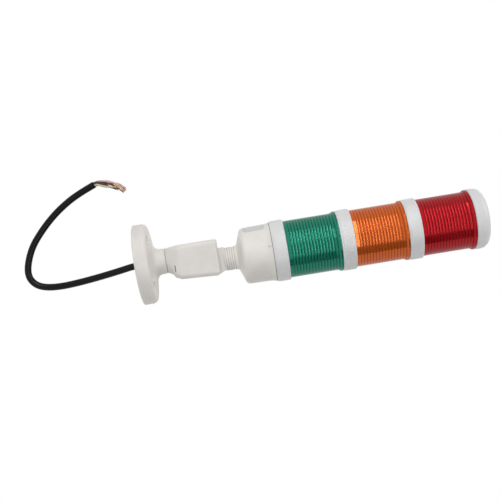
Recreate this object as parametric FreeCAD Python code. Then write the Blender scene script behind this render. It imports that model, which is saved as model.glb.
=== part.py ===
import FreeCAD, Part
import math
import os

# Three-tier stack light on a fold-down base, in millimetres
# Origin: centre of the base flange's mounting face. +Z runs towards the cap, +X is the way the lamp folds.

# Fits
side_gap = 0.3              # between parts that turn past each other
run_clearance = 0.05        # radial, shaft in bore
seat_clearance = 0.05       # radial, between parts that are fixed together
slot_clearance = 0.15       # round a contact blade

# Tiers
lamp_offset = 7.0           # lamp axis, from the base axis towards the fold
tier_pitch = 58.1
collar_height = 11.9
collar_step = 1.65          # collar's radius, over the lens's
collar_foot_inset = 0.55
collar_foot_height = 2.2
collar_foot_blend = 2.0
collar_edge_round = 0.6
collar_wall = 2.2
collar_floor = 2.0
collar_well_depth = 1.1
seal_thickness = 0.5
seal_inset = 0.7

# Lenses
lens_radius = 25.0
lens_wall = 2.2
lens_chamfer = 0.4
lens_seat_depth = 5.0
lens_seat_step = 0.7
lens_seat_relief = 0.6
lens_flare_inset = 0.25      # under the collar's radius
lens_flare_height = 3.7
lens_flare_blend = 5.0
lens_rim_height = 1.2
lens_rim_blend = 1.5
prism_count = 14
prism_depth = 0.7
prism_margin = 3.4
prism_top_margin = 0.6

# Twist lock between one tier and the next
socket_wall = 1.7
socket_clearance = 0.2
plug_wall = 2.0
plug_depth = 5.0
lug_count = 3
lug_angle = 16.0
lug_height = 1.6
lug_reach = 0.6
lug_drop = 4.2
lug_clearance = 0.2
lug_entry_growth = 4.0
lug_entry_turn = 24.0

# Cap
cap_height = 14.1
cap_dome = 1.6
cap_wall = 2.2
cap_edge_round = 7.5
cap_draft = 0.25
cap_foot_height = 1.2
cap_foot_blend = 1.0

# Lamp cup
cup_height = 32.0
cup_foot_rise = 1.4
cup_foot_blend = 1.9
cup_draft = 0.5
cup_cone_height = 4.9
cup_cone_blend = 4.0
cup_upper_inset = 0.1        # under the lens's radius
cup_flare_height = 3.5
cup_flare_blend = 6.0
cup_mouth_inset = 0.85       # under the collar's radius
cup_wall = 2.4
cup_floor_height = 7.9
notch_width = 1.6
notch_height = 2.4
notch_depth = 0.7
notch_drop = 1.4
notch_turn = -11.0

# Knuckle tongue and neck
tongue_half_width = 10.8
tongue_thickness = 13.4
tongue_straight = 1.5
shoulder_reach = 1.1
shoulder_rise = 8.5
shoulder_round = 3.0
neck_rise = 15.0            # from the pivot to the neck's underside
neck_height = 10.1
neck_radius = 9.8
neck_edge_round = 0.6
neck_swell = 0.4
neck_swell_rise = 4.5
neck_waist_rise = 8.2
neck_blend = 6.0
neck_top_radius = 10.5
neck_bore = 5.2
neck_overlap = 0.5
neck_spigot_radius = 7.0
neck_spigot_height = 13.4
neck_nut_width = 19.0
spigot_end_round = 0.5
wire_channel_width = 4.5
wire_channel_depth = 6.0
wire_channel_start = 3.4

# Knuckle fork
fork_collar_height = 5.8
fork_collar_radius = 10.9
fork_collar_rim = 0.5
fork_collar_round = 0.3
fork_collar_reach = 7.0     # from the pivot's plane to the collar's front, under the block
fork_collar_corner = 8.0
pivot_rise = 29.5           # from the fork block's underside to the pivot
ear_rise = 10.0             # from the pivot to the ears' flat ends
ear_thickness = 6.0
fork_web = 7.8
fork_reach = 12.8           # from the pivot to the ears' front
fork_corner = 4.0
fork_foot_reach = 8.4
fork_foot_corner = 5.5
fork_foot_inset = 1.0       # of the foot's sides, inside the ears' faces
fork_heel_inset = 0.4
fork_chin_reach = 10.9
fork_chin_height = 5.6
fork_edge_round = 0.8
slot_depth = 12.4           # from the pivot to the slot's floor

# Hinge screw
screw_radius = 2.5
screw_head_radius = 4.6
screw_head_height = 2.8
screw_head_round = 0.5
screw_head_sink = 0.4
screw_key_width = 4.0
screw_key_depth = 1.8
screw_end_gap = 0.6
hinge_washer_thickness = 1.0
hinge_washer_inset = 0.2
insert_radius = 3.5
insert_length = 4.6

# Swivel
swivel_radius = 8.0
swivel_bore = 4.6
swivel_thread_end = 0.8
washer_thickness = 1.0
washer_overhang = 1.2
swivel_nut_width = 22.0
nut_height = 4.5
nut_bevel = 1.0
nut_face_inset = 0.2

# Base flange
flange_radius = 35.1
flange_height = 24.7
flange_rim_height = 11.6
flange_rim_round = 4.5
flange_cone_height = 14.3
flange_cone_radius = 16.6
flange_neck_radius = 10.9
flange_neck_draft = 0.5
flange_neck_rise = 2.2
flange_neck_blend = 5.0
flange_neck_round = 0.3
flange_foot_round = 1.0
flange_wall = 2.6
flange_hollow_round = 2.5
pocket_radius = 13.6
pocket_wall = 2.2
pocket_height = 10.4
rib_count = 8
rib_thickness = 1.8
rib_lift = 1.0
hole_count = 4
hole_inset = 7.1             # from the rim
hole_radius = 2.25
hole_boss_radius = 4.6
hole_head_radius = 4.4
hole_head_depth = 0.7

# Cable seal and cord
seal_disc_lift = 0.4
seal_disc_thickness = 2.4
seal_disc_round = 0.5
cord_diameter = 6.0
core_diameter = 1.75
arc_share = 0.45

# Cord route in the plane of the fold: x, z of each corner
cord_route = [
    (0.0, seal_disc_lift + seal_disc_thickness),
    (0.0, -4.0),
    (2.1, -17.0),
    (4.4, -34.0),
    (6.4, -52.5),
    (7.4, -70.5),
    (6.0, -83.5),
    (2.0, -91.9),
    (-5.8, -96.5),
    (-16.2, -95.3),
    (-30.0, -89.4),
    (-41.0, -80.6),
    (-52.3, -69.2),
    (-61.2, -57.6),
    (-69.9, -42.6),
    (-75.8, -27.0),
]

# Cores at the jacket's end: offset across and behind, straight lead, then x, y, z of each further corner
core_routes = {
    "core_black": (-0.94, -1.29, 2.4, [
        (-76.8, -0.5, -21.2),
        (-74.2, -0.7, -17.5),
        (-70.6, 0.0, -12.2),
        (-68.6, -0.8, -6.9),
    ]),
    "core_yellow": (0.94, -1.29, 2.6, [
        (-73.1, -1.9, -20.2),
        (-71.2, -2.1, -12.9),
        (-70.5, -1.5, -5.8),
    ]),
    "core_brown": (0.0, 1.6, 2.6, [
        (-76.5, 1.6, -19.6),
        (-74.6, -0.2, -14.8),
        (-71.9, 0.6, -10.2),
        (-67.8, 1.6, -5.6),
        (-65.3, 1.5, -2.5),
    ]),
    "core_grey": (1.52, 0.49, 2.6, [
        (-74.3, 1.9, -19.9),
        (-75.5, 3.4, -13.2),
        (-74.9, 2.4, -8.0),
        (-72.6, 1.9, -3.6),
        (-69.2, 1.6, -0.9),
    ]),
    "core_red": (-1.52, 0.49, 2.8, [
        (-78.2, 0.8, -21.0),
        (-77.3, 0.9, -14.7),
        (-75.1, 0.6, -9.7),
        (-70.6, 0.0, -5.1),
        (-66.4, 0.2, -0.7),
    ]),
}

# Light source inside each tier
board_gap = 1.3
board_thickness = 1.6
cable_hole = 3.0
column_width = 18.0
column_wall = 1.6
column_gap = 1.0
column_sides = 6
strip_width = 8.0
strip_thickness = 0.8
strip_margin = 2.0
chip_width = 3.5
chip_height = 2.8
chip_depth = 0.9
chips_per_strip = 3
contact_count = 4
contact_circle_radius = 5.2
contact_width = 2.4
contact_thickness = 0.8
contact_reach = 3.6
contact_tail = 1.0

# Driver inside the cup
driver_board_gap = 1.4
standoff_count = 3
standoff_inset = 4.0
standoff_radius = 2.6
board_screw_radius = 1.25
board_screw_length = 8.0
board_screw_head_radius = 2.4
board_screw_head_height = 2.0
board_screw_slot_width = 0.8
board_screw_slot_depth = 0.8
terminal_length = 17.5
terminal_width = 7.0
terminal_height = 9.0
terminal_inset = 3.4         # from the board's edge
terminal_ways = 5
terminal_hole_radius = 1.25
terminal_screw_depth = 3.0
terminal_mouth_width = 2.2
terminal_mouth_depth = 3.0
terminal_sill = 1.2
capacitor_radius = 4.0
capacitor_height = 10.0
capacitor_round = 0.6
capacitor_count = 2
capacitor_spacing = 19.0
capacitor_inset = 9.0
contact_socket_width = 11.0
contact_socket_height = 11.0
contact_socket_depth = 4.4

# Heights, from the mounting face up
fork_bottom = flange_height + fork_collar_height
pivot_z = fork_bottom + pivot_rise
fork_top = pivot_z + ear_rise
slot_floor = pivot_z - slot_depth
neck_bottom = pivot_z + neck_rise
cup_bottom = neck_bottom + neck_height
cone_bottom = cup_bottom + cup_foot_rise
cup_floor = cup_bottom + cup_floor_height
cup_top = cup_bottom + cup_height
first_collar = cup_top + seal_thickness
contact_top = first_collar - column_gap
board_top = contact_top - contact_socket_height
board_bottom = board_top - board_thickness
lens_height = tier_pitch - collar_height - seal_thickness
washer_top = pocket_height - side_gap
swivel_nut_bottom = washer_top - washer_thickness - nut_height

# Places across
tongue_back = lamp_offset - tongue_half_width
tongue_front = lamp_offset + tongue_half_width
slot_back = tongue_back - side_gap
fork_back = slot_back - fork_web
fork_front = lamp_offset + fork_reach
ear_inner = tongue_thickness / 2 + side_gap
ear_outer = ear_inner + ear_thickness
screw_head_top = ear_outer - screw_head_sink
screw_head_bottom = screw_head_top - screw_head_height
insert_end = -ear_inner - insert_length
collar_radius = lens_radius + collar_step
collar_foot_radius = collar_radius - collar_foot_inset
lens_flare_radius = collar_radius - lens_flare_inset
cup_mouth_radius = collar_radius - cup_mouth_inset
cup_upper_radius = lens_radius - cup_upper_inset
cup_radius = cup_upper_radius - cup_draft
lens_inner_radius = lens_radius - lens_wall
lens_seat_radius = lens_radius - lens_seat_step
socket_radius = lens_radius - socket_wall
plug_radius = socket_radius - socket_clearance
collar_bore = lens_seat_radius + seat_clearance
collar_well = collar_bore - collar_wall
collar_seat = collar_height - lens_seat_depth
collar_floor_top = collar_seat - collar_well_depth
cup_inner_radius = cup_radius - cup_wall
driver_board_radius = cup_inner_radius - driver_board_gap
capacitor_x = lamp_offset + driver_board_radius - capacitor_inset
terminal_back = lamp_offset - driver_board_radius + terminal_inset
standoff_x = lamp_offset + cup_inner_radius - standoff_inset
hole_circle_radius = flange_radius - hole_inset

up = FreeCAD.Vector(0, 0, 1)
along_y = FreeCAD.Vector(0, 1, 0)
origin = FreeCAD.Vector(0, 0, 0)
lamp_axis = FreeCAD.Vector(lamp_offset, 0, 0)
os.makedirs("parts", exist_ok=True)


# Shape helpers
def save(name, *solids):
    shape = solids[0] if len(solids) == 1 else Part.makeCompound(list(solids))
    shape.exportStep("parts/" + name + ".step")
    print(name, len(shape.Solids), "solids", round(shape.Volume, 1), "mm3")


# First, middle and last points of the arc that rounds a corner
def corner_arc(before, point, after, radius):
    back = (before - point).normalize()
    ahead = (after - point).normalize()
    half = back.getAngle(ahead) / 2
    reach = radius / math.tan(half)
    middle = (back + ahead).normalize()
    bulge = point + middle * (radius / math.sin(half) - radius)
    return [point + back * reach, bulge, point + ahead * reach]


def rounded_edges(points, radii, closed):
    stops = []
    for i, point in enumerate(points):
        if radii[i] > 0:
            stops.append(corner_arc(points[i - 1], point, points[(i + 1) % len(points)], radii[i]))
        else:
            stops.append([point])
    edges = []
    for i, stop in enumerate(stops):
        if len(stop) == 3:
            edges.append(Part.Arc(stop[0], stop[1], stop[2]).toShape())
        if closed or i + 1 < len(stops):
            following = stops[(i + 1) % len(stops)][0]
            if stop[-1].distanceToPoint(following) > 0.001:
                edges.append(Part.LineSegment(stop[-1], following).toShape())
    return edges


def outline_face(corners, place):
    points = [place(corner[0], corner[1]) for corner in corners]
    radii = [corner[2] if len(corner) > 2 else 0 for corner in corners]
    return Part.Face(Part.Wire(rounded_edges(points, radii, True)))


# Solid turned about an upright axis from radius, height and rounding of each corner
def turned(corners, x=0.0):
    face = outline_face(corners, lambda r, z: FreeCAD.Vector(x + r, 0, z))
    return face.revolve(FreeCAD.Vector(x, 0, 0), up, 360)


# Plate parallel to the plane of the fold, from x, z and rounding of each corner
def side_plate(corners, half_width):
    face = outline_face(corners, lambda x, z: FreeCAD.Vector(x, -half_width, z))
    return face.extrude(along_y * (2 * half_width))


def rod(radius, bottom, top, x=0.0, y=0.0):
    return Part.makeCylinder(radius, top - bottom, FreeCAD.Vector(x, y, bottom))


def tube(inner, outer, bottom, top, x=0.0):
    return rod(outer, bottom, top, x).cut(rod(inner, bottom, top, x))


# Cylinder along Y on the pivot's axis
def pin(radius, y0, y1):
    return Part.makeCylinder(radius, y1 - y0, FreeCAD.Vector(lamp_offset, y0, pivot_z), along_y)


def block(x0, x1, y0, y1, z0, z1):
    return Part.makeBox(x1 - x0, y1 - y0, z1 - z0, FreeCAD.Vector(x0, y0, z0))


def hexagon(width, bottom, top, x=0.0):
    corner = width / 2 / math.cos(math.radians(30))
    turns = [math.radians(60 * i) for i in range(7)]
    points = [FreeCAD.Vector(x + corner * math.cos(t), corner * math.sin(t), bottom) for t in turns]
    return Part.Face(Part.makePolygon(points)).extrude(up * (top - bottom))


# Copies spread evenly round an upright axis
def around(shape, count, start=0.0, axis=lamp_axis):
    copies = []
    for i in range(count):
        copy = shape.copy()
        copy.rotate(axis, up, start + 360.0 * i / count)
        copies.append(copy)
    return copies


# Round bar along straight runs joined by tangent arcs
def along_route(points, diameter, label):
    radii = [0.0]
    for before, point, after in zip(points, points[1:], points[2:]):
        turn = math.pi - (before - point).getAngle(after - point)
        run = min(before.distanceToPoint(point), point.distanceToPoint(after))
        radii.append(arc_share * run / math.tan(turn / 2))
    radii.append(0.0)
    path = Part.Wire(rounded_edges(points, radii, False))
    section = Part.Wire(Part.Circle(points[0], points[1] - points[0], diameter / 2).toShape())
    body = path.makePipeShell([section], True, True)
    expected = math.pi * diameter ** 2 / 4 * path.Length
    print(label, "length", round(path.Length, 1), "radii", [round(radius, 1) for radius in radii[1:-1]])
    print(label, "volume", round(body.Volume, 1), "section times length", round(expected, 1))
    return body


# The stretches of a ring that lie in equal sectors, one for each lug
def lug_sectors(ring, angle, start):
    half = math.radians(angle / 2)
    reach = 2 * collar_radius
    box = ring.BoundBox
    low = FreeCAD.Vector(lamp_offset, 0, box.ZMin)
    left = low + FreeCAD.Vector(reach * math.cos(half), -reach * math.sin(half), 0)
    right = low + FreeCAD.Vector(reach * math.cos(half), reach * math.sin(half), 0)
    wedge = Part.Face(Part.makePolygon([low, left, right, low])).extrude(up * box.ZLength)
    return ring.common(Part.makeCompound(around(wedge, lug_count, start)))


# Twist-lock plug with its lugs, under a shoulder at height z
def plug_ring(z):
    inner = plug_radius - plug_wall
    lug_bottom = z - lug_drop
    ring = tube(inner, plug_radius, z - plug_depth, z + collar_foot_height, lamp_offset)
    band = tube(inner, plug_radius + lug_reach, lug_bottom, lug_bottom + lug_height, lamp_offset)
    return ring.fuse(lug_sectors(band, lug_angle, 0.0))


# Room for the plug below a mouth at height z: its bore, the lugs' ring groove and their ways in
def socket_room(z):
    wide = plug_radius + lug_reach + lug_clearance
    groove_bottom = z + seal_thickness - lug_drop - lug_clearance
    groove_top = groove_bottom + lug_height + 2 * lug_clearance
    bore = rod(socket_radius, z - plug_depth, z, lamp_offset)
    groove = rod(wide, groove_bottom, groove_top, lamp_offset)
    way_in = rod(wide, groove_bottom, z, lamp_offset)
    entry = lug_sectors(way_in, lug_angle + lug_entry_growth, lug_entry_turn)
    return bore.fuse([groove, entry])


# Blades that carry the current from one tier to the next
def contact_blades(bottom, top, growth=0.0):
    half_width = contact_width / 2 + growth
    half_thickness = contact_thickness / 2 + growth
    middle = lamp_offset + contact_circle_radius
    blade = block(middle - half_thickness, middle + half_thickness, -half_width, half_width, bottom, top)
    return around(blade, contact_count, 180 / contact_count)


# Base flange: rim, shallow cone and neck over a ribbed hollow
def base_flange():
    shell = turned([
        (0, 0),
        (flange_radius, 0, flange_foot_round),
        (flange_radius, flange_rim_height, flange_rim_round),
        (flange_cone_radius, flange_cone_height, flange_neck_blend),
        (flange_neck_radius + flange_neck_draft, flange_cone_height + flange_neck_rise, flange_neck_blend),
        (flange_neck_radius, flange_height, flange_neck_round),
        (0, flange_height),
    ])
    hollow = turned([
        (pocket_radius + pocket_wall, 0),
        (flange_radius - flange_wall, 0),
        (flange_radius - flange_wall, flange_rim_height - flange_wall, flange_hollow_round),
        (pocket_radius + pocket_wall, flange_cone_height - flange_wall),
    ])
    rib = block(0, flange_radius, -rib_thickness / 2, rib_thickness / 2, rib_lift, flange_cone_height)
    boss = rod(hole_boss_radius, 0, flange_cone_height, hole_circle_radius)
    hollow = hollow.cut(around(rib, rib_count, 0, origin) + around(boss, hole_count, 45, origin))
    slope = (flange_cone_height - flange_rim_height) / (flange_radius - flange_cone_radius)
    face_z = flange_rim_height + slope * (flange_radius - hole_circle_radius)
    hole = rod(hole_radius, 0, flange_cone_height, hole_circle_radius)
    sink = rod(hole_head_radius, face_z - hole_head_depth, flange_height, hole_circle_radius)
    pocket = rod(pocket_radius, 0, pocket_height)
    bore = rod(swivel_radius + run_clearance, 0, flange_height)
    return shell.cut([hollow, pocket, bore] + around(hole.fuse(sink), hole_count, 45, origin))


# Rubber disc that seals the cord into the flange's pocket
def cable_seal():
    top = seal_disc_lift + seal_disc_thickness
    bore = cord_diameter / 2 + seat_clearance
    return turned([
        (bore, seal_disc_lift),
        (pocket_radius - seat_clearance, seal_disc_lift, seal_disc_round),
        (pocket_radius - seat_clearance, top),
        (bore, top),
    ])


# Points of one core: straight out of the jacket's end, then along its own route
def core_points(across, behind, lead, further):
    end = FreeCAD.Vector(cord_route[-1][0], 0, cord_route[-1][1])
    last = FreeCAD.Vector(cord_route[-2][0], 0, cord_route[-2][1])
    heading = (end - last).normalize()
    start = end + along_y.cross(heading) * across + along_y * behind
    return [start, start + heading * lead] + [FreeCAD.Vector(*corner) for corner in further]


# Wire of four straight and four round edges at height z
def rounded_section(back, front, half_width, corner, z):
    flat = [(front, -half_width), (front, half_width), (back, half_width), (back, -half_width)]
    points = [FreeCAD.Vector(x, y, z) for x, y in flat]
    return Part.Wire(rounded_edges(points, [corner] * len(points), True))


# Circle split in line with a section's corners, so that the two loft edge to edge
def matching_circle(section, radius, z):
    spots = [vertex.Point for vertex in section.OrderedVertexes]
    rays = [FreeCAD.Vector(spot.x, spot.y, 0).normalize() for spot in spots]
    arcs = []
    for first, second in zip(rays, rays[1:] + rays[:1]):
        stop = [ray * radius + up * z for ray in (first, (first + second).normalize(), second)]
        arcs.append(Part.Arc(stop[0], stop[1], stop[2]).toShape())
    return Part.Wire(arcs)


# Knuckle fork: a round collar that flows into a block, and two ears round the tongue
def knuckle_fork():
    heel = fork_back + fork_heel_inset
    foot_side = ear_outer - fork_foot_inset
    chin_z = fork_bottom + fork_chin_height
    foot = rounded_section(heel, lamp_offset + fork_foot_reach, foot_side, fork_foot_corner, fork_bottom)
    chin = rounded_section(fork_back, lamp_offset + fork_chin_reach, ear_outer, fork_corner, chin_z)
    crown = rounded_section(fork_back, fork_front, ear_outer, fork_corner, fork_top)
    head = Part.makeLoft([foot, chin, crown], True, True)
    rim = [edge for edge in head.Edges if edge.BoundBox.ZMin > fork_top - 0.01]
    envelope = side_plate([
        (fork_back - ear_rise, fork_bottom),
        (fork_back - ear_rise, fork_top),
        (fork_front, fork_top, fork_corner),
        (fork_front, fork_bottom),
    ], ear_outer + ear_rise)
    head = head.makeFillet(fork_edge_round, rim).common(envelope)
    collar_bottom = flange_height + side_gap
    flare_bottom = collar_bottom + fork_collar_rim
    shoulder = rounded_section(
        heel, lamp_offset + fork_collar_reach, foot_side, fork_collar_corner, fork_bottom,
    )
    flare = Part.makeLoft([matching_circle(shoulder, fork_collar_radius, flare_bottom), shoulder], True, True)
    collar = turned([
        (0, collar_bottom),
        (fork_collar_radius, collar_bottom, fork_collar_round),
        (fork_collar_radius, flare_bottom),
        (0, flare_bottom),
    ])
    spigot = rod(swivel_radius, swivel_nut_bottom - swivel_thread_end, collar_bottom)
    slot = side_plate([
        (slot_back, fork_top + ear_rise),
        (slot_back, slot_floor, tongue_half_width + side_gap),
        (fork_front + ear_rise, slot_floor),
        (fork_front + ear_rise, fork_top + ear_rise),
    ], ear_inner)
    cable_bore = rod(swivel_bore, 0, pivot_z)
    screw_bore = pin(screw_radius + run_clearance, 0, ear_outer)
    head_bore = pin(screw_head_radius + side_gap, screw_head_bottom - hinge_washer_thickness, ear_outer)
    insert_bore = pin(insert_radius + seat_clearance, insert_end, 0)
    fork = head.fuse([flare, collar, spigot]).cut([slot, cable_bore, screw_bore, head_bore, insert_bore])
    return fork.removeSplitter()


# Socket-head screw on which the lamp folds
def hinge_screw():
    head = pin(screw_head_radius, screw_head_bottom, screw_head_top)
    rim = [edge for edge in head.Edges if abs(edge.CenterOfMass.y - screw_head_top) < 0.01]
    shank = pin(screw_radius, insert_end + screw_end_gap, screw_head_bottom)
    key = hexagon(screw_key_width, 0, screw_key_depth)
    key.rotate(origin, FreeCAD.Vector(1, 0, 0), -90)
    key.translate(FreeCAD.Vector(lamp_offset, screw_head_top - screw_key_depth, pivot_z))
    return head.makeFillet(screw_head_round, rim).fuse(shank).cut(key)


def hinge_washer():
    bottom = screw_head_bottom - hinge_washer_thickness
    ring = pin(screw_head_radius - hinge_washer_inset, bottom, screw_head_bottom)
    return ring.cut(pin(screw_radius + seat_clearance, 0, ear_outer))


def hinge_insert():
    return pin(insert_radius, insert_end, -ear_inner).cut(pin(screw_radius + seat_clearance, -ear_outer, 0))


# Tongue that folds in the fork, with the neck that carries the cup
def knuckle_tongue():
    half = tongue_thickness / 2
    plate = side_plate([
        (tongue_back, neck_bottom + neck_overlap),
        (tongue_back, pivot_z - tongue_half_width, tongue_half_width),
        (tongue_front, pivot_z - tongue_half_width, tongue_half_width),
        (tongue_front, pivot_z + tongue_straight),
        (tongue_front + shoulder_reach, pivot_z + shoulder_rise, shoulder_round),
        (lamp_offset + neck_radius - neck_edge_round, neck_bottom + neck_overlap),
    ], half)
    neck = turned([
        (0, neck_bottom),
        (neck_radius, neck_bottom, neck_edge_round),
        (neck_radius + neck_swell, neck_bottom + neck_swell_rise, neck_blend),
        (neck_radius, neck_bottom + neck_waist_rise, neck_blend),
        (neck_top_radius, cup_bottom),
        (neck_spigot_radius, cup_bottom),
        (neck_spigot_radius, cup_bottom + neck_spigot_height, spigot_end_round),
        (0, cup_bottom + neck_spigot_height),
    ], lamp_offset)
    bore = rod(neck_bore, neck_bottom + neck_edge_round, cup_bottom + neck_spigot_height, lamp_offset)
    channel_x = lamp_offset + wire_channel_start
    channel_y = wire_channel_depth / 2
    channel_bottom = pivot_z - tongue_half_width
    channel_top = neck_bottom + neck_edge_round
    channel = block(
        channel_x, channel_x + wire_channel_width,
        -channel_y, channel_y,
        channel_bottom, channel_top,
    )
    return plate.fuse(neck).cut([bore, channel, pin(screw_radius + run_clearance, -half, half)])


# Bevelled hexagon nut on a threaded spigot
def spigot_nut(width, radius, bottom, x):
    top = bottom + nut_height
    face_radius = width / 2 - nut_face_inset
    corner = width / 2 / math.cos(math.radians(30))
    bevel = turned([
        (0, bottom),
        (face_radius, bottom),
        (corner, bottom + nut_bevel),
        (corner, top - nut_bevel),
        (face_radius, top),
        (0, top),
    ], x)
    bore = rod(radius + seat_clearance, bottom, top, x)
    return hexagon(width, bottom, top, x).common(bevel).cut(bore)


def spigot_washer(width, radius, top, x):
    return tube(radius + seat_clearance, width / 2 + washer_overhang, top - washer_thickness, top, x)


# Lamp cup: coned bottom, drafted wall, flared mouth with the first twist-lock socket
def lamp_cup():
    shell = turned([
        (0, cup_bottom),
        (neck_top_radius, cup_bottom),
        (neck_top_radius, cone_bottom, cup_foot_blend),
        (cup_radius, cone_bottom + cup_cone_height, cup_cone_blend),
        (cup_upper_radius, cup_top - cup_flare_height, cup_flare_blend),
        (cup_mouth_radius, cup_top),
        (0, cup_top),
    ], lamp_offset)
    standoffs = around(rod(standoff_radius, cup_floor, board_bottom, standoff_x), standoff_count)
    hollow = rod(cup_inner_radius, cup_floor, cup_top - plug_depth, lamp_offset).cut(standoffs)
    spigot_hole = rod(neck_spigot_radius + seat_clearance, cup_bottom, cup_floor, lamp_offset)
    pilot_bottom = board_top - board_screw_length - seal_thickness
    pilot = rod(board_screw_radius + seat_clearance, pilot_bottom, board_bottom, standoff_x)
    notch_top = cup_top - notch_drop
    notch = block(
        -notch_width / 2, notch_width / 2,
        -cup_mouth_radius, notch_depth - cup_upper_radius,
        notch_top - notch_height, notch_top,
    )
    notch.translate(lamp_axis)
    notch.rotate(lamp_axis, up, notch_turn)
    return shell.cut([hollow, spigot_hole, socket_room(cup_top), notch] + around(pilot, standoff_count))


def driver_board():
    board = rod(driver_board_radius, board_bottom, board_top, lamp_offset)
    hole = rod(board_screw_radius + seat_clearance, board_bottom, board_top, standoff_x)
    return board.cut([rod(cable_hole, board_bottom, board_top, lamp_offset)] + around(hole, standoff_count))


def board_screws():
    head_top = board_top + board_screw_head_height
    shank = rod(board_screw_radius, board_top - board_screw_length, board_top, standoff_x)
    head = rod(board_screw_head_radius, board_top, head_top, standoff_x)
    half = board_screw_slot_width / 2
    slot = block(
        standoff_x - half, standoff_x + half,
        -board_screw_head_radius, board_screw_head_radius,
        head_top - board_screw_slot_depth, head_top,
    )
    return around(shank.fuse(head).cut(slot), standoff_count)


# Screw terminals that take the cord's cores
def terminal_block():
    half = terminal_length / 2
    centre_x = terminal_back + terminal_width / 2
    front = terminal_back + terminal_width
    top = board_top + terminal_height
    body = block(terminal_back, front, -half, half, board_top, top)
    mouth_bottom = board_top + terminal_sill
    ways = []
    for i in range(terminal_ways):
        y = terminal_length * ((i + 0.5) / terminal_ways - 0.5)
        ways.append(rod(terminal_hole_radius, top - terminal_screw_depth, top, centre_x, y))
        ways.append(block(
            front - terminal_mouth_depth, front,
            y - terminal_mouth_width / 2, y + terminal_mouth_width / 2,
            mouth_bottom, mouth_bottom + terminal_mouth_width,
        ))
    return body.cut(ways)


def capacitors():
    top = board_top + capacitor_height
    cans = []
    for i in range(capacitor_count):
        y = capacitor_spacing * (i - (capacitor_count - 1) / 2)
        can = rod(capacitor_radius, board_top, top, capacitor_x, y)
        rim = [edge for edge in can.Edges if abs(edge.CenterOfMass.z - top) < 0.01]
        cans.append(can.makeFillet(capacitor_round, rim))
    return cans


# Socket on the driver board that the first tier's blades enter
def contact_socket():
    half = contact_socket_width / 2
    body = block(lamp_offset - half, lamp_offset + half, -half, half, board_top, contact_top)
    slots = contact_blades(contact_top - contact_socket_depth, contact_top, slot_clearance)
    return body.cut(slots + [rod(cable_hole, board_top, contact_top, lamp_offset)])


# Collar of one tier: outer ring, lens seat, floor and twist-lock plug
def module_base(z):
    top = z + collar_height
    floor_top = z + collar_floor_top
    floor_bottom = floor_top - collar_floor
    plug_inner = plug_radius - plug_wall
    ring = turned([
        (plug_inner, z),
        (collar_foot_radius, z),
        (collar_radius, z + collar_foot_height, collar_foot_blend),
        (collar_radius, top, collar_edge_round),
        (collar_bore, top),
        (collar_bore, z + collar_seat),
        (collar_well, z + collar_seat),
        (collar_well, floor_top),
        (0, floor_top),
        (0, floor_bottom),
        (plug_inner, floor_bottom),
    ], lamp_offset)
    slots = contact_blades(floor_bottom, floor_top, slot_clearance)
    return ring.fuse(plug_ring(z)).cut(slots + [rod(cable_hole, floor_bottom, floor_top, lamp_offset)])


# Flat seal under a collar's shoulder, set in so that it leaves a thin groove outside
def seal_ring(z):
    inner = plug_radius + seat_clearance
    return tube(inner, collar_foot_radius - seal_inset, z - seal_thickness, z, lamp_offset)


# Lens of one tier: smooth outside, ring prisms inside, flared mouth with the next socket
def lens(z):
    top = z + lens_height
    bottom = z - lens_seat_depth
    shell = turned([
        (0, bottom),
        (lens_seat_radius, bottom),
        (lens_seat_radius, z),
        (lens_radius - lens_chamfer, z),
        (lens_radius, z + lens_chamfer),
        (lens_radius, top - lens_flare_height, lens_flare_blend),
        (lens_flare_radius, top - lens_rim_height, lens_rim_blend),
        (lens_flare_radius, top),
        (0, top),
    ], lamp_offset)
    prism_bottom = z + prism_margin
    prism_top = top - plug_depth - prism_top_margin
    pitch = (prism_top - prism_bottom) / prism_count
    inside = [(0, bottom), (lens_inner_radius - lens_seat_relief, bottom), (lens_inner_radius, prism_bottom)]
    for i in range(prism_count):
        peak = prism_bottom + (i + 0.5) * pitch
        inside.append((lens_inner_radius + prism_depth, peak))
        inside.append((lens_inner_radius, peak + pitch / 2))
    inside.append((lens_inner_radius, top))
    inside.append((0, top))
    return shell.cut([turned(inside, lamp_offset), socket_room(top)])


def led_board(z):
    bottom = z + collar_floor_top
    top = bottom + board_thickness
    board = rod(collar_well - board_gap, bottom, top, lamp_offset)
    slots = contact_blades(bottom, top, slot_clearance)
    return board.cut(slots + [rod(cable_hole, bottom, top, lamp_offset)])


def column_span(z):
    return z + collar_floor_top + board_thickness, z + tier_pitch - column_gap


# Six-sided post that carries the light strips and the next tier's contacts
def light_column(z):
    bottom, top = column_span(z)
    post = hexagon(column_width, bottom, top, lamp_offset)
    room = hexagon(column_width - 2 * column_wall, bottom, top - column_wall, lamp_offset)
    slots = contact_blades(top - column_wall, top, slot_clearance)
    return post.cut([room, rod(cable_hole, top - column_wall, top, lamp_offset)] + slots)


def light_strips(z):
    bottom, top = column_span(z)
    face = lamp_offset + column_width / 2
    half = strip_width / 2
    strip = block(face, face + strip_thickness, -half, half, bottom + strip_margin, top - strip_margin)
    return around(strip, column_sides, 180 / column_sides)


def light_chips(z):
    bottom, top = column_span(z)
    face = lamp_offset + column_width / 2 + strip_thickness
    half = chip_width / 2
    length = top - bottom - 2 * strip_margin
    chips = []
    for i in range(chips_per_strip):
        low = bottom + strip_margin + length * (i + 0.5) / chips_per_strip - chip_height / 2
        chip = block(face, face + chip_depth, -half, half, low, low + chip_height)
        chips.extend(around(chip, column_sides, 180 / column_sides))
    return chips


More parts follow.
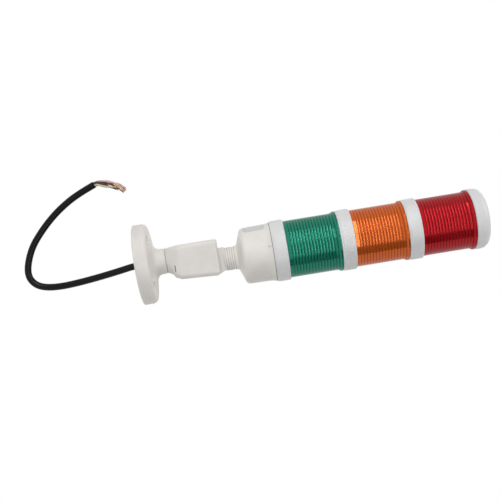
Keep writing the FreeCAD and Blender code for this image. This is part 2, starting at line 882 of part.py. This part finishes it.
# Cap that closes the top tier
def top_cap(z):
    crown = z + cap_height
    edge_z = crown - cap_dome
    plug_inner = plug_radius - plug_wall
    shell = turned([
        (0, z),
        (collar_foot_radius, z),
        (collar_radius, z + cap_foot_height, cap_foot_blend),
        (collar_radius - cap_draft, edge_z, cap_edge_round),
        (0, crown),
    ], lamp_offset)
    hollow = turned([
        (0, z),
        (plug_inner, z),
        (plug_inner, edge_z - cap_wall, cap_edge_round - cap_wall),
        (0, crown - cap_wall),
    ], lamp_offset)
    return shell.fuse(plug_ring(z)).cut(hollow)


# Base
save("base_flange", base_flange())
save("cable_seal", cable_seal())
route = [FreeCAD.Vector(x, 0, z) for x, z in cord_route]
save("supply_cord", along_route(route, cord_diameter, "supply_cord"))
for core, values in core_routes.items():
    save(core, along_route(core_points(*values), core_diameter, core))

# Knuckle
save("knuckle_fork", knuckle_fork())
save("swivel_washer", spigot_washer(swivel_nut_width, swivel_radius, washer_top, 0.0))
save("swivel_nut", spigot_nut(swivel_nut_width, swivel_radius, swivel_nut_bottom, 0.0))
save("hinge_screw", hinge_screw())
save("hinge_washer", hinge_washer())
save("hinge_insert", hinge_insert())

# Neck, cup and driver
save("knuckle_tongue", knuckle_tongue())
neck_washer_top = cup_floor + washer_thickness
save("neck_washer", spigot_washer(neck_nut_width, neck_spigot_radius, neck_washer_top, lamp_offset))
save("neck_nut", spigot_nut(neck_nut_width, neck_spigot_radius, neck_washer_top, lamp_offset))
save("lamp_cup", lamp_cup())
save("driver_board", driver_board())
save("board_screws", *board_screws())
save("terminal_block", terminal_block())
save("capacitors", *capacitors())
save("contact_socket", contact_socket())

# Tiers, from the cup up
for tier, colour in enumerate(["green", "orange", "red"]):
    base = first_collar + tier * tier_pitch
    blade_top = base + collar_floor_top + board_thickness + contact_tail
    save("seal_" + colour, seal_ring(base))
    save("module_base_" + colour, module_base(base))
    save("lens_" + colour, lens(base + collar_height))
    save("led_board_" + colour, led_board(base))
    save("light_column_" + colour, light_column(base))
    save("light_strips_" + colour, *light_strips(base))
    save("light_chips_" + colour, *light_chips(base))
    save("contact_blades_" + colour, *contact_blades(base - contact_reach, blade_top))

# Cap
cap_bottom = first_collar + 3 * tier_pitch
save("seal_cap", seal_ring(cap_bottom))
save("top_cap", top_cap(cap_bottom))
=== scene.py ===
import bpy
import math
from mathutils import Matrix, Vector


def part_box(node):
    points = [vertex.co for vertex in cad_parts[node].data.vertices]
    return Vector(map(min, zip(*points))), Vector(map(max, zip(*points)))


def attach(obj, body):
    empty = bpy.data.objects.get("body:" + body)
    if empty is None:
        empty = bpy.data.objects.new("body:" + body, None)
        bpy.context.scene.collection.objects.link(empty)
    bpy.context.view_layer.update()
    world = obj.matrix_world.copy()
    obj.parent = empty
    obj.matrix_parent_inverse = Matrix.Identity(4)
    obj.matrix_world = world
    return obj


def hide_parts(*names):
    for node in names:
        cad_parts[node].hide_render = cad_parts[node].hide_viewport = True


# Looks of a three-tier stack light, in metres, with +Z towards its cap and +X the way it folds
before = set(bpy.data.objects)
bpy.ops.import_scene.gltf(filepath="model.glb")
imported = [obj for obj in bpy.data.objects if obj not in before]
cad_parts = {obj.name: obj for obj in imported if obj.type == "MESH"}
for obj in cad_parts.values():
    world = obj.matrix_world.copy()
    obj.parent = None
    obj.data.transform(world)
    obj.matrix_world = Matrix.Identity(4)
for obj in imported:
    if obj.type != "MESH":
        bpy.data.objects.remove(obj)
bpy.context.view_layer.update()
print("frame loaded:", len(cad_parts), "nodes")

# Camera, almost level, and rolled so that the light lies across the picture. Angles in degrees
cameraSet = {
    "place": (0.0024, -0.7759, 0.0901),
    "tilt": 0.59,
    "roll": 80.74,
    "lens": 63.86,
    "sensor": 36.0,
}


def addCamera(look):
    tilt = math.radians(look["tilt"])
    roll = math.radians(look["roll"])
    ahead = Vector((0, math.cos(tilt), math.sin(tilt)))
    level = Vector((1, 0, 0))
    right = level * math.cos(roll) + level.cross(ahead) * math.sin(roll)
    turn = Matrix((right, right.cross(ahead), -ahead)).transposed()
    camera = bpy.data.objects.new("camera", bpy.data.cameras.new("camera"))
    camera.data.lens = look["lens"]
    camera.data.sensor_width = look["sensor"]
    camera.matrix_world = Matrix.Translation(look["place"]) @ turn.to_4x4()
    bpy.context.collection.objects.link(camera)
    bpy.context.scene.camera = camera


addCamera(cameraSet)
bpy.context.scene.view_settings.view_transform = "Standard"
print("camera placed")


screenGamma = 2.2


# Linear colour of a paint given in screen values from 0 to 255
def paint(*levels):
    return tuple((level / 255) ** screenGamma for level in levels) + (1.0,)


# The same colour at a share of its strength
def shaded(colour, share):
    return tuple(level * share for level in colour[:3]) + (1.0,)


# A number socket that takes part in ordinary sums: each operator adds a Math node
class Wire:
    def __init__(self, graph, socket):
        self.graph = graph
        self.socket = socket

    def maths(self, operation, *values):
        return self.graph.add("Math", {"operation": operation}, dict(enumerate(values)))

    def __add__(self, other):
        return self.maths("ADD", self, other)

    def __radd__(self, other):
        return self.maths("ADD", other, self)

    def __sub__(self, other):
        return self.maths("SUBTRACT", self, other)

    def __rsub__(self, other):
        return self.maths("SUBTRACT", other, self)

    def __mul__(self, other):
        return self.maths("MULTIPLY", self, other)

    def __rmul__(self, other):
        return self.maths("MULTIPLY", other, self)

    def __truediv__(self, other):
        return self.maths("DIVIDE", self, other)

    def __rtruediv__(self, other):
        return self.maths("DIVIDE", other, self)

    def fraction(self):
        return self.maths("FRACT", self)

    def size(self):
        return self.maths("ABSOLUTE", self)

    def largest(self, other):
        return self.maths("MAXIMUM", self, other)

    # 0 below low, 1 above high, smooth between
    def step(self, low, high):
        settings = {"interpolation_type": "SMOOTHSTEP"}
        sockets = {"Value": self, "From Min": low, "From Max": high}
        return self.graph.add("MapRange", settings, sockets)

    # 1 between low and high, fading over a short way past each
    def within(self, low, high, fade=0.0003):
        return self.step(low - fade, low) * (1 - self.step(high, high + fade))


# One node tree, of a material or of the world
class Graph:
    def __init__(self, owner):
        owner.use_nodes = True
        self.owner = owner
        self.tree = owner.node_tree
        self.tree.nodes.clear()

    # Adds a node: settings first, then values or wires for its sockets. Gives one output as a
    # wire, or the finished material where the node has no output
    def add(self, kind, settings, sockets, output=0):
        node = self.tree.nodes.new("ShaderNode" + kind)
        for name, value in settings.items():
            setattr(node, name, value)
        for name, value in sockets.items():
            if isinstance(value, Wire):
                self.tree.links.new(value.socket, node.inputs[name])
            else:
                node.inputs[name].default_value = value
        return Wire(self, node.outputs[output]) if node.outputs else self.owner

    # Object coordinates, which stay with the piece when it moves
    def place(self):
        return self.add("TexCoord", {}, {}, "Object")

    def axis(self, name):
        return self.add("SeparateXYZ", {}, {0: self.place()}, name)

    # Noise that is drawn out along Z where drawn is below 1, and squeezed where it is above
    def noise(self, scale, detail=3.0, drawn=1.0):
        spot = self.add("Mapping", {}, {"Vector": self.place(), "Scale": (1, 1, drawn)})
        return self.add("TexNoise", {}, {"Vector": spot, "Scale": scale, "Detail": detail}, "Fac")

    # The Mix node's colours are its sockets 6 and 7, and its output 2
    def blend(self, share, first, second):
        return self.add("Mix", {"data_type": "RGBA"}, {0: share, 6: first, 7: second}, 2)

    def bump(self, height, depth, normal=None):
        sockets = {"Height": height, "Distance": depth}
        if normal:
            sockets["Normal"] = normal
        return self.add("Bump", {}, sockets)

    # Turned rings up the piece's Z: how deep each spot lies in a groove, and the leaning normal
    def rings(self, height, look):
        ring = ((height - look["low"]) / look["pitch"]).fraction() * 2 - 1
        inside = height.within(look["low"], look["high"])
        groove = ring.size().step(look["land"], 1.0) * inside
        return groove, self.lean(ring * inside * look["slope"])

    # The surface's own normal, leaning along the piece's Z by amount
    def lean(self, amount):
        turn = {"vector_type": "VECTOR", "convert_from": "OBJECT", "convert_to": "WORLD"}
        along = self.add("VectorTransform", turn, {0: self.add("CombineXYZ", {}, {"Z": amount})})
        normal = self.add("NewGeometry", {}, {}, "Normal")
        together = self.add("VectorMath", {"operation": "ADD"}, {0: normal, 1: along})
        return self.add("VectorMath", {"operation": "NORMALIZE"}, {0: together})

    # 1 inside a narrow field of X and Z on the side where Y is below zero: the field painted dark as
    # a slit's shade
    def paintedSlitShade(self, look):
        inside = 1 - self.axis("Y").step(*look["Y"])
        for name in ("X", "Z"):
            inside = inside * self.axis(name).within(*look[name])
        return inside

    def surface(self, sockets):
        return self.add("OutputMaterial", {}, {"Surface": self.add("BsdfPrincipled", {}, sockets)})


def newGraph(name):
    return Graph(bpy.data.materials.new(name))


def dress(names, finish):
    for name in names:
        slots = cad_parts[name].data.materials
        slots.clear()
        slots.append(finish)


def addObject(name, data, finish, body):
    piece = bpy.data.objects.new(name, data)
    data.materials.append(finish)
    bpy.context.collection.objects.link(piece)
    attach(piece, body)
    return piece


# Moulded plastic: almost even, with a faint cloud of shade, a fine grain and uneven gloss
mouldSet = {
    "cloudScale": 45.0,
    "cloudSpan": (0.3, 0.7),
    "cloudGloss": 0.12,
    "grainScale": 2400.0,
    "grainGloss": 0.1,
    "grainDepth": 0.00003,
}


# Rings and a slit are drawn on it where its own dictionary has them: both are painted shade, a
# darker colour in the ring grooves and in the slit
def plasticFinish(name, look):
    look = {**mouldSet, **look}
    graph = newGraph(name)
    cloud = graph.noise(look["cloudScale"])
    grain = graph.noise(look["grainScale"], detail=2.0)
    colour = graph.blend(cloud.step(*look["cloudSpan"]), look["dark"], look["light"])
    rough = look["rough"] + (cloud - 0.5) * look["cloudGloss"] + (grain - 0.5) * look["grainGloss"]
    normal = None
    if "rings" in look:
        groove, normal = graph.rings(graph.axis("Z"), look["rings"])
        # Painted shade: the ring grooves take the rings' darker colour
        colour = graph.blend(groove, colour, look["rings"]["colour"])
    if "paintedSlitShade" in look:
        # Painted shade: the slit's dark colour over the moulding
        colour = graph.blend(graph.paintedSlitShade(look["paintedSlitShade"]), colour, look["paintedSlitShade"]["colour"])
    return graph.surface({
        "Base Color": colour,
        "Roughness": rough,
        "Normal": graph.bump(grain, look["grainDepth"], normal),
    })


# Cord: black jacket, from the flange's seal down and round to its stripped end
cordSet = {
    "diameter": 0.006,
    "length": 0.2086,
    "sealFace": 0.0004,
    "route": [
        (0.0, 0.0, 0.0028),
        (0.0, 0.0, -0.004),
        (0.0021, 0.0, -0.017),
        (0.0044, 0.0, -0.034),
        (0.0064, 0.0, -0.0525),
        (0.0074, 0.0, -0.0705),
        (0.006, 0.0, -0.0835),
        (0.002, 0.0, -0.0919),
        (-0.0058, 0.0, -0.0965),
        (-0.0162, 0.0, -0.0953),
        (-0.03, 0.0, -0.0894),
        (-0.041, 0.0, -0.0806),
        (-0.0523, 0.0, -0.0692),
        (-0.0612, 0.0, -0.0576),
        (-0.0699, 0.0, -0.0426),
        (-0.0758, 0.0, -0.027),
    ],
    "dark": paint(7, 7, 8),
    "light": paint(14, 14, 16),
    "rough": 0.24,
    "shine": 0.18,
    "dragScale": 90.0,
    "dragSpan": (0.35, 0.7),
    "dragGloss": 0.16,
    "grainScale": 1500.0,
    "grainShare": 0.3,
    "bumpDepth": 0.00006,
}


# One smooth open spline with the route's points as its control points
def cordCurve(name, route, diameter, steps=16, roundSteps=6):
    curve = bpy.data.curves.new(name, "CURVE")
    curve.dimensions = "3D"
    curve.bevel_depth = diameter / 2
    curve.bevel_resolution = roundSteps
    curve.resolution_u = steps
    curve.use_fill_caps = True
    spline = curve.splines.new("NURBS")
    spline.points.add(len(route) - 1)
    for point, place in zip(spline.points, route):
        point.co = tuple(place) + (1.0,)
    spline.order_u = 3
    spline.use_endpoint_u = True
    return curve


# Points along a curve's own line, read from the curve with no bevel
def lineOf(curve):
    bare = curve.copy()
    bare.bevel_depth = 0.0
    holder = bpy.data.objects.new("line", bare)
    mesh = bpy.data.meshes.new_from_object(holder)
    points = [vertex.co.copy() for vertex in mesh.vertices]
    bpy.data.objects.remove(holder)
    bpy.data.curves.remove(bare)
    bpy.data.meshes.remove(mesh)
    return points


def jacketFinish(look):
    graph = newGraph("jacket")
    drag = graph.noise(look["dragScale"], drawn=0.3)
    grain = graph.noise(look["grainScale"], detail=2.0)
    return graph.surface({
        "Base Color": graph.blend(drag.step(*look["dragSpan"]), look["dark"], look["light"]),
        "Roughness": look["rough"] + (drag - 0.5) * look["dragGloss"],
        "Specular IOR Level": look["shine"],
        "Normal": graph.bump(drag + grain * look["grainShare"], look["bumpDepth"]),
    })


# Cores: each starts on the jacket's end, so far across it and so far along +Y from its middle, and
# leads straight on before its own route. The last stretch of each is bared
coreSet = {
    "diameter": 0.00175,
    "bared": 0.0052,
    "rough": 0.4,
    "grainDepth": 0.000004,
    "shade": 0.85,
    "cores": {
        "core_black": {
            "skin": paint(40, 28, 30),
            "metal": paint(110, 88, 76),
            "start": {"across": -0.00094, "behind": -0.00129, "lead": 0.0024},
            "route": [
                (-0.0768, -0.0005, -0.0212),
                (-0.0742, -0.0007, -0.0175),
                (-0.0706, 0.0, -0.0122),
                (-0.0686, -0.0008, -0.0069),
            ],
        },
        "core_yellow": {
            "skin": paint(208, 194, 156),
            "metal": paint(208, 178, 128),
            "start": {"across": 0.00094, "behind": -0.00129, "lead": 0.0026},
            "route": [
                (-0.0731, -0.0019, -0.0202),
                (-0.0712, -0.0021, -0.0129),
                (-0.0705, -0.0015, -0.0058),
            ],
        },
        "core_brown": {
            "skin": paint(78, 42, 32),
            "metal": paint(196, 144, 130),
            "start": {"across": 0.0, "behind": 0.0016, "lead": 0.0026},
            "route": [
                (-0.0765, 0.0016, -0.0196),
                (-0.0748, -0.0002, -0.0148),
                (-0.0725, 0.0006, -0.0102),
                (-0.0682, 0.0016, -0.0056),
                (-0.0655, 0.0015, -0.0025),
            ],
        },
        "core_grey": {
            "skin": paint(204, 196, 182),
            "metal": paint(196, 182, 160),
            "start": {"across": 0.00152, "behind": 0.00049, "lead": 0.0026},
            "route": [
                (-0.0743, 0.0019, -0.0199),
                (-0.0752, 0.0034, -0.0132),
                (-0.0742, 0.0024, -0.008),
                (-0.0718, 0.0019, -0.0036),
                (-0.0682, 0.0016, -0.0009),
            ],
        },
        "core_red": {
            "skin": paint(228, 184, 176),
            "metal": paint(212, 160, 152),
            "start": {"across": -0.00152, "behind": 0.00049, "lead": 0.0028},
            "route": [
                (-0.0782, 0.0008, -0.021),
                (-0.0769, 0.0009, -0.0147),
                (-0.0749, 0.0006, -0.0097),
                (-0.0702, 0.0, -0.0051),
                (-0.0664, 0.0002, -0.0007),
            ],
        },
    },
}

# Strands of a bared tip: they lie in layers about its line, twist along it and fray towards its end
strandSet = {
    "radius": 0.0002,
    "roundSteps": 2,
    "count": 13,
    "layers": 3,
    "reach": 0.0006,
    "fray": 0.6,
    "apart": 2.4,
    "twist": 400.0,
    "shade": 0.6,
    "dragScale": 2500.0,
    "dragGloss": 0.15,
    "metallic": 0.85,
    "rough": 0.3,
}


def strandCurve(name, tip, look):
    curve = bpy.data.curves.new(name, "CURVE")
    curve.dimensions = "3D"
    curve.bevel_depth = look["radius"]
    curve.bevel_resolution = look["roundSteps"]
    curve.use_fill_caps = True
    sideways = Vector((0, 1, 0))
    first, last = tip[0][1], tip[-1][1]
    for strand in range(look["count"]):
        spline = curve.splines.new("POLY")
        spline.points.add(len(tip) - 1)
        reach = look["reach"] * (strand % look["layers"]) / (look["layers"] - 1)
        for i, (spot, run) in enumerate(tip):
            before = tip[max(i - 1, 0)][0]
            after = tip[min(i + 1, len(tip) - 1)][0]
            along = (after - before).normalized()
            across = along.cross(sideways).normalized()
            turn = strand * look["apart"] + run * look["twist"]
            offset = across * math.cos(turn) + along.cross(across) * math.sin(turn)
            spread = reach * (1 + look["fray"] * (run - first) / (last - first))
            spline.points[i].co = tuple(spot + offset * spread) + (1.0,)
    return curve


def strandFinish(name, colour, look):
    graph = newGraph(name)
    drag = graph.noise(look["dragScale"], detail=2.0, drawn=0.3)
    return graph.surface({
        "Base Color": graph.blend(drag, shaded(colour, look["shade"]), colour),
        "Metallic": look["metallic"],
        "Roughness": look["rough"] + drag * look["dragGloss"],
    })


# Insulated stretch and the bare strands past it
def addCore(name, look):
    core = look["cores"][name]
    end = Vector(cordSet["route"][-1])
    heading = (end - Vector(cordSet["route"][-2])).normalized()
    start = end + Vector((0, 1, 0)).cross(heading) * core["start"]["across"]
    start += Vector((0, core["start"]["behind"], 0))
    ahead = start + heading * core["start"]["lead"]
    route = [start, ahead] + [Vector(spot) for spot in core["route"]]
    curve = cordCurve(name + "_skin", route, look["diameter"])
    line = lineOf(curve)
    runs = [0.0]
    for before, after in zip(line, line[1:]):
        runs.append(runs[-1] + (after - before).length)
    curve.bevel_factor_end = 1 - look["bared"] / runs[-1]
    curve.bevel_factor_mapping_end = "SPLINE"
    finish = plasticFinish(name, {
        "dark": shaded(core["skin"], look["shade"]),
        "light": core["skin"],
        "rough": look["rough"],
        "grainDepth": look["grainDepth"],
    })
    piece = addObject(name + "_skin", curve, finish, "base")
    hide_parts(name)
    rootRun = runs[-1] - look["bared"] - look["diameter"]  # the strands begin inside the skin
    tip = [(spot, run) for spot, run in zip(line, runs) if run > rootRun]
    bundle = strandCurve(name + "_strands", tip, strandSet)
    metal = strandFinish(name + "_metal", core["metal"], strandSet)
    strands = addObject(name + "_strands", bundle, metal, "base")
    return [piece, strands]


def addCord():
    curve = cordCurve("supply_cord_jacket", cordSet["route"], cordSet["diameter"])
    jacket = addObject("supply_cord_jacket", curve, jacketFinish(cordSet), "base")
    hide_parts("supply_cord")
    cores = [piece for name in coreSet["cores"] for piece in addCore(name, coreSet)]


addCord()
print("cord and cores made")

tiers = ("green", "orange", "red")


# The names of one part in all tiers
def inTiers(part):
    return [part + "_" + tier for tier in tiers]


# White mouldings: warm on the base, the knuckle and the cup, cooler on the collars and the cap
baseSet = {
    "dark": paint(222, 218, 213),
    "light": paint(231, 227, 222),
    "rough": 0.45,
    "grainDepth": 0.00005,
}
forkSet = {
    **baseSet,
    # A slit drawn as a dark mark on the near face: a painted shade, with no cut in the shape
    "paintedSlitShade": {
        "X": (0.0052, 0.0108),
        "Y": (-0.002, 0.0),
        "Z": (0.0317, 0.0322),
        "colour": paint(96, 78, 66),
    },
}
neckSet = {
    **baseSet,
    # The rings' colour is a painted shade, laid darker into the ring grooves
    "rings": {
        "low": 0.0764,
        "high": 0.0843,
        "pitch": 0.0019,
        "land": 0.5,
        "slope": 0.2,
        "colour": paint(182, 176, 170),
    },
}
cupSet = {
    "dark": paint(224, 220, 214),
    "light": paint(232, 228, 222),
    "rough": 0.4,
}
collarSet = {
    "dark": paint(213, 213, 213),
    "light": paint(221, 221, 222),
    "rough": 0.38,
}
dress(["base_flange"], plasticFinish("baseWhite", baseSet))
dress(["knuckle_fork"], plasticFinish("forkWhite", forkSet))
dress(["knuckle_tongue"], plasticFinish("neckWhite", neckSet))
dress(["lamp_cup"], plasticFinish("cupWhite", cupSet))
dress(inTiers("module_base") + ["top_cap"], plasticFinish("collarWhite", collarSet))
print("white mouldings done")

# Lenses: tinted plastic, smooth outside, whose ring prisms within glint in its own colour. The ring
# grooves are painted darker, a painted shade for the dark lines the prisms show. Heights are from
# the lens's seat
lensSet = {
    "seat": 0.005,
    "low": 0.0034,
    "high": 0.0452,
    "pitch": 0.00262,
    "land": 0.45,
    "slope": 0.25,
    "rough": 0.15,
    "glint": 0.36,
    "clear": 0.1,
    "shine": 0.4,
    "ior": 1.49,
    "tints": {
        "green": {
            "paintedGrooveShade": paint(4, 70, 50),
            "light": paint(34, 126, 104),
            "edge": paint(170, 205, 190),
        },
        "orange": {
            "paintedGrooveShade": paint(156, 56, 12),
            "light": paint(203, 97, 42),
            "edge": paint(225, 190, 170),
        },
        "red": {
            "paintedGrooveShade": paint(98, 3, 8),
            "light": paint(172, 27, 35),
            "edge": paint(205, 150, 150),
        },
    },
}


def lensFinish(tier, look):
    graph = newGraph("lens_" + tier)
    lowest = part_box("lens_" + tier)[0][2]
    groove, normal = graph.rings(graph.axis("Z") - (lowest + look["seat"]), look)
    tint = look["tints"][tier]
    return graph.surface({
        # Painted shade: darker colour in the ring grooves than on the lands between them
        "Base Color": graph.blend(groove, tint["light"], tint["paintedGrooveShade"]),
        "Roughness": look["rough"],
        "Metallic": look["glint"],
        "IOR": look["ior"],
        "Specular IOR Level": look["shine"],
        "Specular Tint": tint["edge"],
        "Transmission Weight": look["clear"],
        "Normal": normal,
    })


for tier in tiers:
    dress(["lens_" + tier], lensFinish(tier, lensSet))
print("lenses done")

# Rubbers, plastics and boards inside
innerSet = {
    "rubber": {
        "nodes": inTiers("seal") + ["seal_cap"],
        "dark": paint(112, 112, 112),
        "light": paint(128, 128, 127),
        "rough": 0.7,
    },
    "glandRubber": {
        "nodes": ["cable_seal"],
        "dark": paint(34, 34, 35),
        "light": paint(46, 46, 47),
        "rough": 0.65,
    },
    "terminalGreen": {
        "nodes": ["terminal_block"],
        "dark": paint(30, 110, 60),
        "light": paint(40, 128, 72),
        "rough": 0.5,
    },
    "blackPlastic": {
        "nodes": ["contact_socket"],
        "dark": paint(26, 26, 28),
        "light": paint(38, 38, 40),
        "rough": 0.45,
    },
    "columnWhite": {
        "nodes": inTiers("light_column"),
        "dark": paint(226, 226, 224),
        "light": paint(236, 236, 234),
        "rough": 0.5,
    },
    "chipYellow": {
        "nodes": inTiers("light_chips"),
        "dark": paint(222, 196, 96),
        "light": paint(236, 214, 120),
        "rough": 0.35,
    },
    "boardWhite": {
        "nodes": inTiers("light_strips") + inTiers("led_board"),
        "dark": paint(222, 224, 222),
        "light": paint(232, 234, 232),
        "rough": 0.4,
    },
    "boardGreen": {
        "nodes": ["driver_board"],
        "dark": paint(18, 74, 44),
        "light": paint(26, 92, 56),
        "rough": 0.4,
    },
}
for name, look in innerSet.items():
    dress(look["nodes"], plasticFinish(name, look))

# Metals inside, with a fine lay across them
metalSet = {
    "layScale": 700.0,
    "layDepth": 0.00002,
    "layGloss": 0.2,
    "rough": 0.25,
    "shade": 0.8,
    "metals": {
        "steel": {
            "nodes": [
                "swivel_washer",
                "swivel_nut",
                "hinge_screw",
                "hinge_washer",
                "neck_washer",
                "neck_nut",
                "board_screws",
            ],
            "colour": paint(196, 198, 202),
        },
        "brass": {
            "nodes": ["hinge_insert"] + inTiers("contact_blades"),
            "colour": paint(214, 178, 98),
        },
        "canAluminium": {
            "nodes": ["capacitors"],
            "colour": paint(208, 210, 214),
        },
    },
}


def metalFinish(name, colour, look):
    graph = newGraph(name)
    lay = graph.noise(look["layScale"], detail=4.0, drawn=6.0)
    return graph.surface({
        "Base Color": graph.blend(lay, shaded(colour, look["shade"]), colour),
        "Metallic": 1.0,
        "Roughness": look["rough"] + lay * look["layGloss"],
        "Normal": graph.bump(lay, look["layDepth"]),
    })


for name, metal in metalSet["metals"].items():
    dress(metal["nodes"], metalFinish(name, metal["colour"], metalSet))
print("inner pieces done")

# Label: a bare silver-grey field on the cup's side, round-cornered and bent about the cup's own
# axis. It follows the side's draft, from lowRadius at draftLow to draft more at draftHigh
labelSet = {
    "low": 0.0940,
    "high": 0.1132,
    "middle": 163.0,
    "halfTurn": 52.0,
    "corner": 0.003,
    "lift": 0.00003,
    "thickness": 0.00012,
    "axisX": 0.007,
    "lowRadius": 0.0244,
    "draft": 0.0005,
    "draftLow": 0.0914,
    "draftHigh": 0.1136,
    "rows": 24,
    "columns": 72,
    "dark": paint(192, 192, 194),
    "light": paint(208, 208, 210),
    "layScale": 500.0,
    "layGloss": 0.15,
    "rough": 0.36,
    "metallic": 0.35,
}


# A spot of the label: share runs from -1 at one end of its row to 1 at the other
def labelPoint(look, share, height, lift):
    rise = (height - look["draftLow"]) / (look["draftHigh"] - look["draftLow"])
    radius = look["lowRadius"] + look["draft"] * rise + lift
    width = look["lowRadius"] * math.radians(look["halfTurn"])
    past = max(look["corner"] - min(height - look["low"], look["high"] - height), 0.0)
    inset = look["corner"] - math.sqrt(max(look["corner"] ** 2 - past ** 2, 0.0))
    turn = math.radians(look["middle"]) + share * (width - inset) / look["lowRadius"]
    return (look["axisX"] + radius * math.cos(turn), radius * math.sin(turn), height)


# An inner and an outer sheet of squares, joined round their rim
def labelMesh(look):
    rows, columns = look["rows"], look["columns"]
    points = []
    for lift in (look["lift"], look["lift"] + look["thickness"]):
        for row in range(rows + 1):
            height = look["low"] + (look["high"] - look["low"]) * row / rows
            for column in range(columns + 1):
                points.append(labelPoint(look, 2 * column / columns - 1, height, lift))
    wide = columns + 1
    outer = wide * (rows + 1)
    faces = []
    for row in range(rows):
        for column in range(columns):
            low = row * wide + column
            high = low + wide
            faces.append((low, high, high + 1, low + 1))
            faces.append((outer + low, outer + low + 1, outer + high + 1, outer + high))
    rim = list(range(wide))
    rim += [row * wide + columns for row in range(1, rows + 1)]
    rim += [rows * wide + column for column in range(columns - 1, -1, -1)]
    rim += [row * wide for row in range(rows - 1, 0, -1)]
    for here, after in zip(rim, rim[1:] + rim[:1]):
        faces.append((here, after, outer + after, outer + here))
    mesh = bpy.data.meshes.new("cup_label")
    mesh.from_pydata(points, [], faces)
    return mesh


def labelFinish(look):
    graph = newGraph("label")
    lay = graph.noise(look["layScale"], drawn=0.2)
    return graph.surface({
        "Base Color": graph.blend(lay, look["dark"], look["light"]),
        "Metallic": look["metallic"],
        "Roughness": look["rough"] + (lay - 0.5) * look["layGloss"],
    })


addObject("cup_label", labelMesh(labelSet), labelFinish(labelSet), "lamp")
print("label made")

# Studio: pale floor just under the cord, pale all round, and soft lamps. Glossy surfaces show the
# mirrored ones: the long thin lamps lie along X and make the bright stripes in the lenses' rings
studioSet = {
    "ambient": 0.25,
    "aim": (0.007, 0.0, 0.16),
    "floor": {
        "size": 1.6,
        "drop": 0.0004,
        "colour": paint(244, 244, 244),
        "glow": 0.97,
        "light": 1.016,
    },
    "card": {
        "place": (0.415, -0.28, 0.29),
        "size": (0.3, 0.42),
        "colour": paint(20, 20, 20),
        "rough": 0.9,
    },
    "lamps": {
        "key": {"place": (-1.2, -0.4, 0.3), "size": (0.7, 0.9), "power": 1.0, "mirrored": False},
        "high": {"place": (-0.3, -0.3, 1.35), "size": (0.8, 0.8), "power": 4.6, "mirrored": True},
        "left": {"place": (-0.78, -0.78, 0.34), "size": (1.05, 0.1), "power": 2.7, "mirrored": True},
        "front": {"place": (0.16, -1.09, 0.34), "size": (1.05, 0.1), "power": 2.1, "mirrored": True},
        "low": {"place": (-0.5, -0.7, -0.04), "size": (0.6, 0.1), "power": 0.9, "mirrored": True},
        "fill": {"place": (0.9, -0.7, 0.8), "size": (0.6, 0.6), "power": 3.6, "mirrored": False},
        "rear": {"place": (0.2, 1.3, 0.6), "size": (0.9, 0.9), "power": 4.5, "mirrored": False},
        "side": {"place": (1.3, 0.3, 0.35), "size": (0.8, 0.6), "power": 2.0, "mirrored": False},
    },
}


# 1 for the rays that see the plain pale background, 0 for those that only carry light
def seenRays(graph):
    seen = graph.add("LightPath", {}, {}, "Is Camera Ray")
    for kind in ("Is Glossy Ray", "Is Transmission Ray"):
        seen = seen.largest(graph.add("LightPath", {}, {}, kind))
    return seen


# A place turned so that its -Z looks at aim
def facing(place, aim):
    turn = (Vector(aim) - Vector(place)).to_track_quat("-Z", "Y")
    return Matrix.Translation(place) @ turn.to_matrix().to_4x4()


def flatMesh(name, width, depth, height=0.0):
    x, y = width / 2, depth / 2
    mesh = bpy.data.meshes.new(name)
    corners = [(-x, -y, height), (x, -y, height), (x, y, height), (-x, y, height)]
    mesh.from_pydata(corners, [], [(0, 1, 2, 3)])
    return mesh


def addWorld(ambient):
    world = bpy.data.worlds.new("studio")
    bpy.context.scene.world = world
    graph = Graph(world)
    strength = ambient + seenRays(graph) * (1 - ambient)
    shade = graph.add("Background", {}, {"Color": (1, 1, 1, 1), "Strength": strength})
    graph.add("OutputWorld", {}, {"Surface": shade})


def addFloor(look):
    lowest = min(point.z for point in lineOf(bpy.data.objects["supply_cord_jacket"].data))
    height = lowest - cordSet["diameter"] / 2 - look["drop"]
    mesh = flatMesh("floor", look["size"], look["size"], height)
    graph = newGraph("floor")
    matt = graph.add("BsdfDiffuse", {}, {"Color": look["colour"]})
    glow = graph.add("Emission", {}, {"Color": (1, 1, 1, 1), "Strength": look["light"]})
    shade = graph.add("MixShader", {}, {0: seenRays(graph) * look["glow"], 1: matt, 2: glow})
    mesh.materials.append(graph.add("OutputMaterial", {}, {"Surface": shade}))
    floor = bpy.data.objects.new("floor", mesh)
    bpy.context.collection.objects.link(floor)


# Dark card beside the light, for the dark line that runs along glossy rounds
def addCard(look, aim):
    mesh = flatMesh("card", *look["size"])
    graph = newGraph("card")
    sockets = {"Base Color": look["colour"], "Roughness": look["rough"], "Specular IOR Level": 0.0}
    mesh.materials.append(graph.surface(sockets))
    card = bpy.data.objects.new("card", mesh)
    card.matrix_world = facing(look["place"], aim)
    card.visible_camera = False
    bpy.context.collection.objects.link(card)


def addLamp(name, look, aim):
    lamp = bpy.data.lights.new(name, "AREA")
    lamp.shape = "RECTANGLE"
    lamp.size, lamp.size_y = look["size"]
    lamp.energy = look["power"]
    holder = bpy.data.objects.new(name, lamp)
    holder.matrix_world = facing(look["place"], aim)
    holder.visible_camera = False
    holder.visible_glossy = look["mirrored"]
    bpy.context.collection.objects.link(holder)


addWorld(studioSet["ambient"])
addFloor(studioSet["floor"])
addCard(studioSet["card"], studioSet["aim"])
for name, look in studioSet["lamps"].items():
    addLamp(name, look, studioSet["aim"])
print("studio lit")
